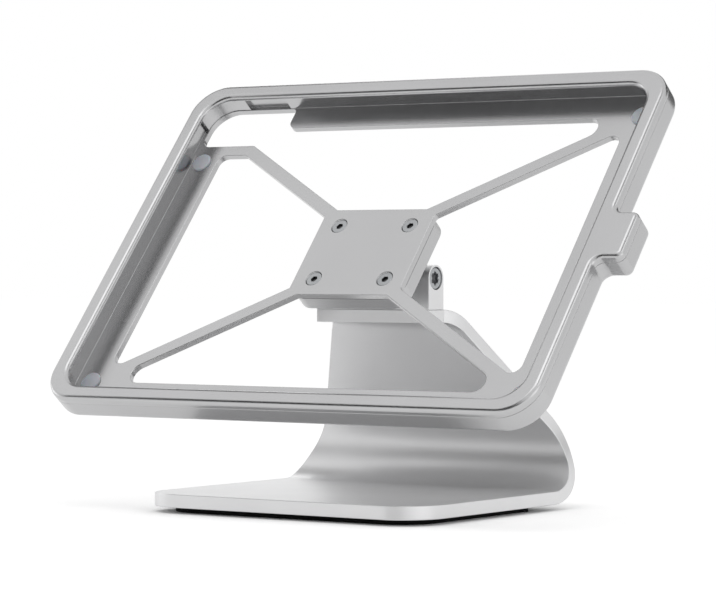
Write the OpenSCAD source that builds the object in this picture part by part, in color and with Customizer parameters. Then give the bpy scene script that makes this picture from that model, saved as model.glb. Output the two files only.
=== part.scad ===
// Desktop tablet stand: a bent aluminium sheet carries a friction hinge, which carries a framed tray.
// Origin: the middle of the flat base plate, on the table. +X right, +Y back, +Z up.
// The tray is drawn in its own frame, with its front face at z = 0 and its floor below, and then tilted.

/* [Tablet] */
// Long side of the tablet that the tray holds
tablet_w = 247.6; // [235:0.1:260]
// Short side of the tablet
tablet_h = 178.5; // [170:0.1:190]
// Thickness of the tablet
tablet_t = 6.1; // [5.5:0.1:8]
// Gap round the edge of the tablet
fit_gap = 0.5; // [0.3:0.1:1]
// Gap between the tablet's glass and the lip of the bezel
glass_gap = 2; // [1:0.1:3]

/* [Tray] */
// Thickness of the tray's side walls
wall_t = 6; // [5.6:0.1:8]
// Thickness of the floor, the arms and the centre plate
floor_t = 3; // [2.6:0.1:4]
// Thickness of the front bezel along the walls
bezel_t = 4; // [3.4:0.1:5]
// Thickness of the lip that holds the tablet in
lip_t = 2.4; // [1.6:0.1:3]
// How far the lip reaches over the pocket
lip_w = 2.4; // [1:0.1:3]
// Radius of the tray's outer corners
corner_r = 17; // [15:0.5:20]
// Radius of the pocket's corners
pocket_r = 12.5; // [11:0.5:14]
// Rounding of the outer front edge
front_edge_r = 2; // [1:0.1:2.6]
// Rounding of the outer rear edge
rear_edge_r = 3.2; // [2:0.1:3.3]

/* [Floor windows] */
// Width of the floor strip along the short sides
side_strip = 15; // [13:0.5:20]
// Width of the floor strip along the long sides
long_strip = 12.8; // [11:0.1:18]
// Width of the four arms
arm_w = 6.2; // [5:0.1:9]
// Distance from a plate corner to the edge of its arm
arm_foot = 5.5; // [4:0.1:8]
// Width of the centre plate
plate_w = 60; // [56:1:70]
// Height of the centre plate
plate_h = 50; // [46:1:56]
// Corner radius of the side windows
window_r = 4.5; // [3:0.1:5.5]
// Corner radius of the upper and lower windows
window_tip_r = 5.6; // [4:0.1:6.5]
// Corner radius between the centre plate and the arms at its right
plate_corner_r = 2.5; // [0.5:0.1:3.5]
// Width of the camera cut-out
camera_w = 47; // [40:0.5:55]
// Height of the camera cut-out
camera_h = 23.4; // [18:0.1:27]
// Corner radius at the camera cut-out's foot
camera_r = 5; // [3:0.1:6]
// Width of the bar under the camera cut-out
bar_w = 6; // [5:0.1:8]
// Ledge between the pocket's wall and the camera cut-out
camera_rim = 0.4; // [0.3:0.1:1]

/* [Button reliefs] */
// Length of the relief in the top wall
top_relief_l = 24; // [18:0.5:28]
// Depth of the relief in the top wall
top_relief_d = 1.7; // [1:0.1:2]
// Distance of the top relief from the pocket's side
top_relief_x = 19.3; // [18:0.1:25]
// Length of the relief in the left wall
side_relief_l = 17; // [12:0.5:18]
// Depth of the relief in the left wall
side_relief_d = 1.5; // [1:0.1:2]
// Distance of the side relief from the pocket's top
side_relief_y = 11.7; // [11:0.1:13]

/* [Tablet pads] */
// Radius of the silicone pads
pad_r = 5; // [4:0.1:6]
// Thickness of the pads
pad_t = 1; // [0.6:0.1:1.5]
// Distance of the corner pads from the pocket's sides
pad_inset_x = 8.8; // [7:0.1:9]
// Distance of the corner pads from the pocket's long sides
pad_inset_y = 12.2; // [9:0.1:13]
// Distance of the pad beside the camera cut-out from the pocket's side
camera_pad_x = 6.2; // [6.2:0.1:8]
// Distance of that pad below the camera cut-out
camera_pad_y = 10.5; // [8:0.1:14]

/* [Connector housing] */
// How far the housing stands out of the tray's right side
port_out = 12.7; // [12:0.1:16]
// Height of the housing
port_h = 25.5; // [24:0.1:30]
// Radius of the housing's outer corners
port_corner_r = 3.4; // [3.4:0.1:4]
// Radius where the housing meets the tray's side
port_neck_r = 4; // [2:0.1:6]
// Wall round the cavity in the housing
port_wall = 3.4; // [3:0.1:4]
// Wall between the cavity and the tablet pocket
port_web = 2.7; // [2:0.1:3]
// Thickness of the housing's floor
port_floor = 2.5; // [2:0.1:2.9]
// Width of the plug's channel
plug_w = 12.4; // [9:0.1:12.6]
// Height of the plug's channel
plug_h = 6.6; // [5:0.1:6.8]
// Length of the plug's channel in its holder
plug_l = 7.4; // [6.6:0.1:7.5]
// Diameter of the charging cable
cable_d = 4; // [3:0.1:4.4]
// Wall of the cable grommet
grommet_wall = 0.9; // [0.6:0.1:1]

/* [Mount block] */
// Thickness of the block behind the centre plate
block_t = 7; // [6.6:0.1:9]
// Radius of the block's corners
block_r = 8.5; // [5:0.1:9]
// Spacing of the casing screws across the tray
screw_dx = 38.5; // [37.5:0.1:42]
// Spacing of the casing screws up the tray
screw_dy = 31; // [30:0.1:34]
// Length of the casing screws
casing_screw_l = 8.5; // [6:0.1:8.6]

/* [Hinge] */
// Angle of the tray, leaning back from upright
tilt = 40; // [12:1:88]
// Distance of the hinge axis behind the mount block
pivot_back = 8.5; // [8:0.1:12]
// Height of the hinge axis above the shelf
pivot_h = 14; // [13:0.1:20]
// Depth of the bracket, and width of its round-topped ears
ear_d = 12; // [12:0.1:14]
// Thickness of each ear
ear_t = 14; // [12:0.1:15]
// Thickness of the web between the ears
web_t = 5; // [3:0.1:5.5]
// Diameter of the hinge axle
axle_d = 7; // [6.4:0.1:7.2]
// Wall of the hinge bushes
bush_wall = 0.8; // [0.6:0.1:1]
// Length of each bush inside the knuckle
bush_l = 8; // [5:0.5:10]
// Thickness of the bush flanges
flange_t = 0.8; // [0.5:0.1:1.2]
// Radius of the washers, the springs and the bush flanges
washer_r = 5.6; // [5:0.1:5.8]
// Thickness of the friction washers
washer_t = 1; // [0.6:0.1:1.4]
// Thickness of the disc springs
spring_t = 0.7; // [0.4:0.1:1]
// Height of a disc spring's cone above its thickness
spring_cone = 0.7; // [0.3:0.1:1]
// Radius of the knuckle's barrel
barrel_r = 6; // [5.9:0.1:6.5]
// Height of the knuckle's neck
neck_h = 10; // [8:0.1:11]
// Width of the knuckle's foot
foot_w = 30; // [29:0.5:31]
// Height of the knuckle's foot
foot_h = 22; // [21:0.5:23]
// Thickness of the knuckle's foot
foot_t = 3; // [2.6:0.1:3.4]

/* [Pivot screws] */
// Diameter of the pivot screw heads
pivot_head_d = 10; // [8:0.1:10.2]
// Height of the pivot screw heads
pivot_head_t = 3.5; // [3:0.1:4.5]
// Depth of the heads below the sides of the ears
pivot_recess = 0.3; // [0.2:0.1:1]
// Diameter of the pivot screw threads
pivot_thread_d = 5; // [4:0.1:5.2]
// Length of the pivot screw threads
pivot_thread_l = 9; // [6:0.5:12]

/* [Stand sheet] */
// Thickness of the bent sheet
sheet_t = 6; // [5:0.5:8]
// Width of the base
base_w = 150; // [130:1:190]
// Length of the flat base plate, front to back
base_l = 111; // [90:1:140]
// Radius of the base's front corners
base_corner_r = 20; // [10:1:30]
// Inner radius of the rear bend
bend_r = 18; // [12:0.5:30]
// Forward lean of the upright
lean = 35.5; // [25:0.5:45]
// Straight length of the upright
upright_l = 52; // [45:0.5:90]
// Inner radius of the bend at the top
top_bend_r = 10; // [6:0.5:14]
// Width of the shelf at the top
shelf_w = 61.2; // [60:0.2:70]
// Length along the rear bend at which the taper starts
taper_start = 18; // [12:0.1:25]
// Radius that rounds the start of the taper
taper_r = 42; // [20:1:45]
// Rounding of the sheet's edges
sheet_edge_r = 0.4; // [0.3:0.1:1.5]

/* [Base mat] */
// Thickness of the rubber mat
mat_t = 2.7; // [2:0.1:4]
// Distance of the mat from the edge of the flat base
mat_inset = 7.5; // [3:0.1:12]
// Radius of the mat's front corners
mat_front_r = 17; // [5:0.5:25]
// Radius of the mat's rear corners
mat_rear_r = 5; // [2:0.5:10]

/* [Small screws] */
// Diameter of the casing and bracket screw threads
m4_d = 4; // [3:0.1:4.2]
// Diameter of their countersunk heads
m4_head_d = 8; // [7:0.1:8.2]
// Diameter of the foot screw threads
m3_d = 3; // [2.5:0.1:3.2]
// Diameter of the foot screws' countersunk heads
m3_head_d = 5.4; // [5:0.1:5.6]
// Diameter of the bezel and holder screw threads
small_d = 2.2; // [1.8:0.1:2.4]
// Diameter of their low heads
small_head_d = 3.8; // [3.2:0.1:4]
// Height of their low heads
small_head_t = 1.5; // [1:0.1:1.8]

/* [Hidden] */
$fn = 64;

// Clearance between parts that are screwed or pressed together, on the radius
snug = 0.03;
// Clearance of the axle in its bushes, on the radius
running = 0.03;
// Gap between flat faces that slide on each other
slide_gap = 0.1;
// Clearance of a part dropped into a recess
drop_gap = 0.2;
// Overshoot of a cutting shape past a face
over = 1;
// Distance of the foot screws from the foot's ends
foot_screw_edge = 4;
// Length of the foot screws in the block
foot_screw_grip = 3;
// Length of the bracket screws in the ears
bracket_screw_grip = 6;
// Place of the bracket screws across an ear, as a share of its thickness
bracket_screw_share = 0.57;
// Radius of the pivot screws' sockets, as a share of the head's diameter
socket_share = 0.33;
// Distance of the outer bezel screws from the corners' ends
bezel_row_edge = 3.5;
// Depth of the holder screws' holes in the housing's floor
holder_screw_grip = 1.6;

// Tray, from its front face at z = 0
pocket_w = tablet_w + 2 * fit_gap;
pocket_h = tablet_h + 2 * fit_gap;
tray_w = pocket_w + 2 * wall_t;
tray_h = pocket_h + 2 * wall_t;
floor_z = -(lip_t + glass_gap + tablet_t + pad_t);
rear_z = floor_z - floor_t;
block_rear_z = rear_z - block_t;
pivot_z = block_rear_z - pivot_back;
port_x = tray_w / 2 + port_out;

// Windows, in the plane of the floor
window_x = pocket_w / 2 - side_strip;
window_y = pocket_h / 2 - long_strip;
arm_x = plate_w / 2 - arm_foot;
arm_angle = atan2(window_y - plate_h / 2, window_x - arm_x);
arm_side_y = plate_h / 2 + arm_foot * tan(arm_angle) - arm_w / cos(arm_angle);
arm_end_y = window_y - arm_w / cos(arm_angle);
bar_top = pocket_h / 2 - camera_h;
bar_foot = bar_top - bar_w;
bar_top_x = arm_x + (bar_top - plate_h / 2) / tan(arm_angle);
bar_foot_x = plate_w / 2 + (bar_foot - arm_side_y) / tan(arm_angle);
camera_x = camera_w - pocket_w / 2;

// Connector housing
cavity_x0 = pocket_w / 2 + port_web;
cavity_x1 = port_x - port_wall;
cavity_y = port_h / 2 - port_wall;
cavity_z = rear_z + port_floor;
cable_x = cavity_x0 + drop_gap + plug_l - cable_d;
grommet_r = cable_d / 2 + grommet_wall;
grommet_rim = 1.2;
grommet_rim_t = 0.8;
holder_screw_x = (cavity_x0 + plug_l + cavity_x1) / 2;
holder_screw_y = cavity_y - 1.3 * small_head_d / 2 - drop_gap;

// Screws that hold the bezel
bezel_screw_in = wall_t - small_d / 2 - 1.3;
bezel_row_x = tray_w / 2 - corner_r - bezel_row_edge;
bezel_row_y = (port_h / 2 + tray_h / 2 - corner_r) / 2;
bezel_screw_tip = -(front_edge_r + 0.2) / 2;
bezel_seat = floor_z;

// Hinge, along X from its middle
ear_inner = shelf_w / 2 - ear_t;
ear_r = ear_d / 2;
spring_h = spring_t + spring_cone;
spring_x = ear_inner - slide_gap - spring_h;
washer_x = spring_x - slide_gap - washer_t;
flange_x = washer_x - slide_gap - flange_t;
counterbore = pivot_recess + pivot_head_t;
axle_end = shelf_w / 2 - counterbore - slide_gap;
bush_r = axle_d / 2 + running + bush_wall;
foot_screw_x = foot_w / 2 - foot_screw_edge;
foot_screw_y = (foot_h / 2 + neck_h / 2) / 2;
foot_screw_l = foot_t + foot_screw_grip;
bracket_screw_x = shelf_w / 2 - bracket_screw_share * ear_t;
bracket_screw_l = sheet_t + bracket_screw_grip;

// Stand sheet, along its middle line from the front edge
base_z = mat_t;
front_y = -base_l / 2;
mid_z = base_z + sheet_t / 2;
turn = 90 + lean;
top_turn = 90 - lean;
mid_r = bend_r + sheet_t / 2;
top_mid_r = top_bend_r + sheet_t / 2;
bend_l = mid_r * turn * PI / 180;
top_bend_l = top_mid_r * top_turn * PI / 180;
shelf_l = ear_d;
upright_s = base_l + bend_l;
top_bend_s = upright_s + upright_l;
shelf_s = top_bend_s + top_bend_l;
end_s = shelf_s + shelf_l;
bend_centre = [base_l / 2, mid_z + mid_r];
upright_start = bend_centre + mid_r * [sin(turn), -cos(turn)];
upright_end = upright_start + upright_l * [cos(turn), sin(turn)];
top_centre = upright_end + top_mid_r * [-sin(turn), cos(turn)];
shelf_start = top_centre + [0, top_mid_r];
shelf_top = shelf_start.y + sheet_t / 2;
pivot = [0, shelf_start.x - ear_d / 2, shelf_top + pivot_h];

// Colours
silver = [0.78, 0.78, 0.79];
pale_silver = [0.82, 0.82, 0.83];
steel = [0.55, 0.56, 0.58];
bronze = [0.72, 0.55, 0.32];
black = [0.05, 0.05, 0.05];
clear_grey = [0.66, 0.69, 0.73];

// Points of a rounded corner at p, between its neighbours a and b
function corner(a, p, b, r, n) =
  let (
    u = (a - p) / norm(a - p),
    v = (b - p) / norm(b - p),
    half = acos(u * v) / 2,
    c = p + (u + v) / norm(u + v) * r / sin(half),
    s = p + u * r / tan(half) - c,
    e = p + v * r / tan(half) - c,
    a0 = atan2(s.y, s.x),
    raw = atan2(e.y, e.x) - a0,
    sweep = raw > 180 ? raw - 360 : raw < -180 ? raw + 360 : raw
  )
  [for (i = [0:n]) c + r * [cos(a0 + sweep * i / n), sin(a0 + sweep * i / n)]];

// An outline through points [x, y, radius], with n steps in each rounded corner
function rounded(points, n = 8) =
  let (m = len(points))
  [
    for (i = [0:m - 1])
    let (
      a = points[(i + m - 1) % m],
      p = points[i],
      b = points[(i + 1) % m]
    )
    each p.z > 0 ? corner([a.x, a.y], [p.x, p.y], [b.x, b.y], p.z, n) : [[p.x, p.y]]
  ];

// Outline of a rectangle with rounded corners, as points [x, y, radius]
function box_outline(w, h, r) = [
  [w / 2, -h / 2, r], [w / 2, h / 2, r], [-w / 2, h / 2, r], [-w / 2, -h / 2, r]
];

// Outer edge of the tray in section, w wide from x = 0, with one edge rounded
module edge_section(w, z0, z1, r, front) {
  translate([0, z0 + (front ? 0 : r)]) square([w, z1 - z0 - r]);
  translate([0, z0]) square([w - r, z1 - z0]);
  translate([w - r, front ? z1 - r : z0 + r]) circle(r = r);
}

// A straight length of that section, along y from y0 to y1, with its outer face at x
module edge_run(x, w, y0, y1, z0, z1, r, front) {
  translate([x - w, y1, 0]) rotate([90, 0, 0]) linear_extrude(y1 - y0) edge_section(w, z0, z1, r, front);
}

// A quarter turn of that section round a corner at [x, y], facing +X and +Y
module edge_corner(x, y, w, z0, z1, r, front) {
  translate([x - w, y - w, 0]) rotate_extrude(angle = 90) difference() {
    edge_section(w, z0, z1, r, front);
    translate([-w, z0 - over]) square([w, z1 - z0 + 2 * over]);
  }
}

// A quarter turn of that section round the inner corner where the housing meets the tray's side
module edge_neck(z0, z1, r, front) {
  w = port_neck_r * 0.45 + r;
  translate([tray_w / 2 + port_neck_r, port_h / 2 + port_neck_r, 0]) rotate([0, 0, 180])
    rotate_extrude(angle = 90) translate([port_neck_r + w, 0]) mirror([1, 0])
      edge_section(w, z0, z1, r, front);
}

// The tray's outer body between two heights, with its front or its rear edge rounded
module tray_body(z0, z1, r, front) {
  x = tray_w / 2;
  y = tray_h / 2;
  c = corner_r;
  block([-x + c, -y + c, z0], [x - c, y - c, z1]);
  for (sx = [0, 1]) mirror([sx, 0, 0]) {
    edge_run(x, c, -y + c, y - c, z0, z1, r, front);
    for (sy = [0, 1]) mirror([0, sy, 0]) edge_corner(x, y, c, z0, z1, r, front);
  }
  for (sy = [0, 1]) mirror([0, sy, 0])
    rotate(90) edge_run(y, c, -x + c, x - c, z0, z1, r, front);
  edge_run(
    port_x, port_out + wall_t, -port_h / 2 + port_corner_r, port_h / 2 - port_corner_r, z0, z1, r, front
  );
  for (sy = [0, 1]) mirror([0, sy, 0]) {
    edge_corner(port_x, port_h / 2, port_corner_r, z0, z1, r, front);
    rotate(90) edge_run(port_h / 2, port_corner_r, -port_x + port_corner_r, -x + r, z0, z1, r, front);
    edge_neck(z0, z1, r, front);
  }
}

// A plate with a rounded outline between two heights
module plate(points, z0, z1) {
  translate([0, 0, z0]) linear_extrude(z1 - z0) polygon(rounded(points));
}

// A box between two corners
module block(low, high) {
  translate(low) cube(high - low);
}

// Places its children at the four signs of [x, y]
module four(x, y) {
  for (sx = [-1, 1], sy = [-1, 1]) translate([sx * x, sy * y, 0]) children();
}

// A countersunk screw with its face at z = 0 and its tip below
module countersunk_screw(head_d, d, l) {
  cone = (head_d - d) / 2;
  difference() {
    union() {
      translate([0, 0, -cone]) cylinder(d1 = d, d2 = head_d, h = cone);
      translate([0, 0, -l]) cylinder(d = d, h = l);
    }
    translate([0, 0, -0.35 * head_d / 2]) cylinder(d = 0.36 * head_d, h = head_d, $fn = 6);
  }
}

// The hole for that screw, with its mouth at z = 0
module countersunk_hole(head_d, d, l) {
  cone = (head_d - d) / 2;
  translate([0, 0, -cone - snug]) cylinder(d1 = d + 2 * snug, d2 = head_d + 2 * snug, h = cone);
  translate([0, 0, -snug]) cylinder(d = head_d + 2 * snug, h = over);
  translate([0, 0, -l]) cylinder(d = d + 2 * snug, h = l);
}

// A low-headed screw with its head's seat at z = 0, its head below and its tip at the top
module low_screw(l) {
  difference() {
    union() {
      translate([0, 0, -small_head_t]) cylinder(d = small_head_d, h = small_head_t);
      cylinder(d = small_d, h = l);
    }
    translate([0, 0, -small_head_t - over]) cylinder(d = 0.5 * small_d, h = over + 0.6 * small_head_t, $fn = 6);
  }
}

// Places its children at the screws that hold the bezel
module bezel_screw_places() {
  x = tray_w / 2 - bezel_screw_in;
  y = tray_h / 2 - bezel_screw_in;
  for (sy = [-1, 1], k = [-1, -1 / 3, 1 / 3, 1]) translate([k * bezel_row_x, sy * y, 0]) children();
  for (sx = [-1, 1], sy = [-1, 1]) translate([sx * x, sy * bezel_row_y, 0]) children();
}

// Puts the tray's own frame in its place on the hinge
module on_tray() {
  translate(pivot) rotate([90 - tilt, 0, 0]) translate([0, 0, -pivot_z]) children();
}

// A ring round the hinge axis, from x0 to x1
module axis_ring(x0, x1, r_out, r_in) {
  translate([x0, 0, 0]) rotate([0, 90, 0]) difference() {
    cylinder(r = r_out, h = x1 - x0);
    translate([0, 0, -over]) cylinder(r = r_in, h = x1 - x0 + 2 * over);
  }
}

// Mirrors its children to the left side of the hinge
module to_left() {
  mirror([1, 0, 0]) children();
}

// The sheet's middle line at length s: [y, z, heading]
function sheet_place(s) =
  s <= base_l ? [front_y + s, mid_z, 0] :
  s <= upright_s ?
    let (a = turn * (s - base_l) / bend_l)
    [bend_centre.x + mid_r * sin(a), bend_centre.y - mid_r * cos(a), a] :
  s <= top_bend_s ?
    let (d = s - upright_s)
    [upright_start.x + d * cos(turn), upright_start.y + d * sin(turn), turn] :
  s <= shelf_s ?
    let (a = turn + top_turn * (s - top_bend_s) / top_bend_l)
    [top_centre.x + top_mid_r * sin(a), top_centre.y - top_mid_r * cos(a), a] :
  [shelf_start.x - (s - shelf_s), shelf_start.y, 180];

// How far a rounding of radius r draws in at distance e from the end
function draw_in(e, r) = e >= r ? 0 : r - sqrt(r * r - (r - e) * (r - e));

// Half the sheet's width at length s
function sheet_half(s) =
  let (
    corner_s = base_l + taper_start,
    slope = (base_w - shelf_w) / 2 / (shelf_s - corner_s),
    angle = atan(slope),
    tangent = taper_r * tan(angle / 2),
    along = min(s, shelf_s) - corner_s,
    taper =
      along <= -tangent ? 0 :
      along < tangent * cos(angle) ?
        taper_r - sqrt(taper_r * taper_r - (along + tangent) * (along + tangent)) :
      slope * along
  )
  base_w / 2 - taper
  - draw_in(s, base_corner_r) - draw_in(min(s, end_s - s), sheet_edge_r);

// The sheet's cross-section at length s, with rounded edges
function sheet_ring(s) =
  let (
    place = sheet_place(s),
    hx = sheet_half(s),
    hn = sheet_t / 2 - draw_in(min(s, end_s - s), sheet_edge_r),
    r = min(sheet_edge_r, hn),
    normal = [sin(place.z), -cos(place.z)]
  )
  [
    for (q = [0:3], k = [0:2])
    let (
      a = q * 90 + k * 45,
      sx = (q == 0 || q == 3) ? 1 : -1,
      sn = q < 2 ? 1 : -1,
      x = sx * (hx - r) + r * cos(a),
      n = sn * (hn - r) + r * sin(a)
    )
    [x, place.x + n * normal.x, place.y + n * normal.y]
  ];

// Lengths at which the sheet gets a cross-section
sheet_stations = concat(
  [for (a = [0:7.5:90]) base_corner_r * (1 - cos(a))],
  [for (i = [0:24]) base_l + bend_l * i / 24],
  [for (i = [1:3]) upright_s + upright_l * i / 3],
  [for (i = [1:12]) top_bend_s + top_bend_l * i / 12],
  [for (e = [1, 0.7, 0.3, 0.1, 0]) end_s - sheet_edge_r * e]
);

module stand_sheet() color(silver) difference() {
  rings = [for (s = sheet_stations) sheet_ring(s)];
  n = len(rings[0]);
  last = len(rings) - 1;
  polyhedron(
    [for (g = rings) each g],
    concat(
      [[for (i = [n - 1:-1:0]) i]],
      [[for (i = [0:n - 1]) last * n + i]],
      [
        for (k = [0:last - 1], i = [0:n - 1])
        let (j = (i + 1) % n)
        each [
          [k * n + i, k * n + j, (k + 1) * n + j],
          [k * n + i, (k + 1) * n + j, (k + 1) * n + i]
        ]
      ]
    )
  );
  for (sx = [-1, 1]) bracket_screw_place(sx) countersunk_hole(m4_head_d, m4_d, sheet_t + over);
}

// Places its children at a bracket screw's head, under the shelf
module bracket_screw_place(side) {
  translate([side * bracket_screw_x, pivot.y, shelf_top - sheet_t]) rotate([180, 0, 0]) children();
}

module base_mat() color(black) {
  x = base_w / 2 - mat_inset;
  y = base_l / 2 - mat_inset;
  plate([[x, -y, mat_front_r], [x, y, mat_rear_r], [-x, y, mat_rear_r], [-x, -y, mat_front_r]], 0, mat_t);
}

// The bracket's side outline: a foot and a round top, about the hinge axis
module hinge_bracket() color(silver) translate(pivot) difference() {
  union() {
    for (sx = [-1, 1]) {
      block(
        [min(sx * ear_inner, sx * shelf_w / 2), -ear_r, -pivot_h],
        [max(sx * ear_inner, sx * shelf_w / 2), ear_r, 0]
      );
      translate([min(sx * ear_inner, sx * shelf_w / 2), 0, 0])
        rotate([0, 90, 0]) cylinder(r = ear_r, h = ear_t);
    }
    block([-ear_inner - over, -ear_r, -pivot_h], [ear_inner + over, ear_r, web_t - pivot_h]);
  }
  translate([-shelf_w / 2 - over, 0, 0]) rotate([0, 90, 0])
    cylinder(d = axle_d + 2 * snug, h = shelf_w + 2 * over);
  for (sx = [0, 1]) mirror([sx, 0, 0]) translate([shelf_w / 2 - counterbore, 0, 0]) rotate([0, 90, 0])
    cylinder(r = pivot_head_d / 2 + drop_gap, h = counterbore + over);
  for (sx = [-1, 1]) translate([sx * bracket_screw_x, 0, -pivot_h - over])
    cylinder(d = m4_d + 2 * snug, h = over + bracket_screw_l - sheet_t + 0.5);
}

module bracket_screws() color(steel)
  for (sx = [-1, 1]) bracket_screw_place(sx) translate([0, 0, -snug])
    countersunk_screw(m4_head_d, m4_d, bracket_screw_l - snug);

module hinge_axle() color(steel) translate(pivot) difference() {
  translate([-axle_end, 0, 0]) rotate([0, 90, 0]) cylinder(d = axle_d, h = 2 * axle_end);
  for (sx = [0, 1]) mirror([sx, 0, 0]) translate([axle_end - pivot_thread_l - 0.5, 0, 0]) rotate([0, 90, 0])
    cylinder(d = pivot_thread_d + 2 * snug, h = pivot_thread_l + 0.5 + over);
}

// Six-lobed socket
module lobed_socket(r) {
  circle(r = 0.78 * r);
  for (a = [0:60:300]) rotate(a) translate([0.72 * r, 0]) circle(r = 0.28 * r);
}

module pivot_screw() {
  seat_x = shelf_w / 2 - counterbore;
  difference() {
    translate([seat_x, 0, 0]) rotate([0, 90, 0]) {
      cylinder(d = pivot_head_d, h = pivot_head_t);
      translate([0, 0, -pivot_thread_l]) cylinder(d = pivot_thread_d, h = pivot_thread_l + over);
    }
    translate([seat_x + 0.3 * pivot_head_t, 0, 0]) rotate([0, 90, 0])
      linear_extrude(pivot_head_t) lobed_socket(socket_share * pivot_head_d);
  }
}

module pivot_screw_right() color(steel) translate(pivot) pivot_screw();

module pivot_screw_left() color(steel) translate(pivot) to_left() pivot_screw();

// A coned washer that rests on its rim against the ear
module disc_spring() {
  r_in = axle_d / 2 + 0.15;
  translate([spring_x, 0, 0]) rotate([0, 90, 0]) rotate_extrude()
    polygon([[r_in, 0], [washer_r, spring_cone], [washer_r, spring_h], [r_in, spring_t]]);
}

module disc_spring_right() color(steel) translate(pivot) disc_spring();

module disc_spring_left() color(steel) translate(pivot) to_left() disc_spring();

module friction_washer() {
  axis_ring(washer_x, washer_x + washer_t, washer_r, axle_d / 2 + 0.1);
}

module friction_washer_right() color(black) translate(pivot) friction_washer();

module friction_washer_left() color(black) translate(pivot) to_left() friction_washer();

module hinge_bush() {
  axis_ring(flange_x - bush_l, flange_x + flange_t, bush_r, axle_d / 2 + running);
  axis_ring(flange_x, flange_x + flange_t, washer_r, bush_r - 0.2);
}

module hinge_bush_right() color(bronze) translate(pivot) hinge_bush();

module hinge_bush_left() color(bronze) translate(pivot) to_left() hinge_bush();

module hinge_knuckle() color(silver) on_tray() difference() {
  union() {
    translate([-flange_x, 0, pivot_z]) rotate([0, 90, 0]) cylinder(r = barrel_r, h = 2 * flange_x);
    block([-flange_x, -neck_h / 2, pivot_z], [flange_x, neck_h / 2, rear_z - foot_t / 2]);
    block([-foot_w / 2, -foot_h / 2, rear_z - foot_t], [foot_w / 2, foot_h / 2, rear_z]);
  }
  translate([-flange_x - over, 0, pivot_z]) rotate([0, 90, 0])
    cylinder(r = bush_r + snug, h = 2 * (flange_x + over));
  four(foot_screw_x, foot_screw_y)
    translate([0, 0, rear_z]) countersunk_hole(m3_head_d, m3_d, foot_t + over);
}

module knuckle_screws() color(steel) on_tray()
  four(foot_screw_x, foot_screw_y) translate([0, 0, rear_z - snug])
    countersunk_screw(m3_head_d, m3_d, foot_screw_l - snug);

module mount_block() color(silver) on_tray() difference() {
  plate(box_outline(plate_w, plate_h, block_r), block_rear_z, rear_z);
  block(
    [-foot_w / 2 - drop_gap, -foot_h / 2 - drop_gap, rear_z - foot_t],
    [foot_w / 2 + drop_gap, foot_h / 2 + drop_gap, rear_z + over]
  );
  block(
    [-flange_x - drop_gap, -neck_h / 2 - drop_gap, block_rear_z - over],
    [flange_x + drop_gap, neck_h / 2 + drop_gap, rear_z]
  );
  four(screw_dx / 2, screw_dy / 2) translate([0, 0, floor_z - casing_screw_l - 0.5])
    cylinder(d = m4_d + 2 * snug, h = casing_screw_l + 0.5);
  four(foot_screw_x, foot_screw_y) translate([0, 0, rear_z - foot_screw_l - 0.4])
    cylinder(d = m3_d + 2 * snug, h = foot_screw_l);
}

module casing_screws() color(steel) on_tray()
  four(screw_dx / 2, screw_dy / 2) translate([0, 0, floor_z - snug])
    countersunk_screw(m4_head_d, m4_d, casing_screw_l - snug);

// Floor openings, each as points [x, y, radius]
top_window = [
  [-arm_x, plate_h / 2, 0], [arm_x, plate_h / 2, 0], [window_x, window_y, window_tip_r],
  [camera_x, window_y, window_r], [camera_x, pocket_h / 2 - camera_rim, 2.5],
  [-pocket_w / 2 + camera_rim, pocket_h / 2 - camera_rim, pocket_r],
  [-pocket_w / 2 + camera_rim, bar_top, camera_r], [-bar_top_x, bar_top, 2]
];
bottom_window = [
  [-arm_x, -plate_h / 2, 0], [-window_x, -window_y, window_tip_r],
  [window_x, -window_y, window_tip_r], [arm_x, -plate_h / 2, 0]
];
right_window = [
  [plate_w / 2, -arm_side_y, plate_corner_r], [window_x, -arm_end_y, window_r],
  [window_x, arm_end_y, window_r], [plate_w / 2, arm_side_y, plate_corner_r]
];
left_window = [
  [-plate_w / 2, -arm_side_y, 0], [-plate_w / 2, arm_side_y, 0], [-bar_foot_x, bar_foot, 2],
  [-window_x, bar_foot, window_r], [-window_x, -arm_end_y, window_r]
];

module tray_casing() color(pale_silver) on_tray() difference() {
  tray_body(rear_z, -bezel_t, rear_edge_r, false);
  plate(box_outline(pocket_w, pocket_h, pocket_r), floor_z, over);
  for (w = [top_window, bottom_window, right_window, left_window]) plate(w, rear_z - over, floor_z + over);
  block(
    [-pocket_w / 2 + top_relief_x, 0, floor_z],
    [-pocket_w / 2 + top_relief_x + top_relief_l, pocket_h / 2 + top_relief_d, over]
  );
  block(
    [-pocket_w / 2 - side_relief_d, pocket_h / 2 - side_relief_y - side_relief_l, floor_z],
    [0, pocket_h / 2 - side_relief_y, over]
  );
  plate(
    [
      [cavity_x1, -cavity_y, 1.5], [cavity_x1, cavity_y, 1.5], [cavity_x0, cavity_y, 1.5],
      [cavity_x0, -cavity_y, 1.5]
    ],
    cavity_z, over
  );
  block([0, -plug_w / 2, floor_z], [cavity_x0 + over, plug_w / 2, over]);
  translate([cable_x, 0, rear_z - over]) cylinder(r = grommet_r + snug, h = port_floor + 2 * over);
  four(screw_dx / 2, screw_dy / 2)
    translate([0, 0, floor_z]) countersunk_hole(m4_head_d, m4_d, floor_t + over);
  bezel_screw_places() {
    translate([0, 0, rear_z - over]) cylinder(d = small_head_d + 0.4, h = bezel_seat - rear_z + over);
    translate([0, 0, rear_z]) cylinder(d = small_d + 2 * snug, h = -rear_z);
  }
  for (sy = [-1, 1]) translate([holder_screw_x, sy * holder_screw_y, cavity_z - holder_screw_grip])
    cylinder(d = small_d + 2 * snug, h = holder_screw_grip + over);
}

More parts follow.
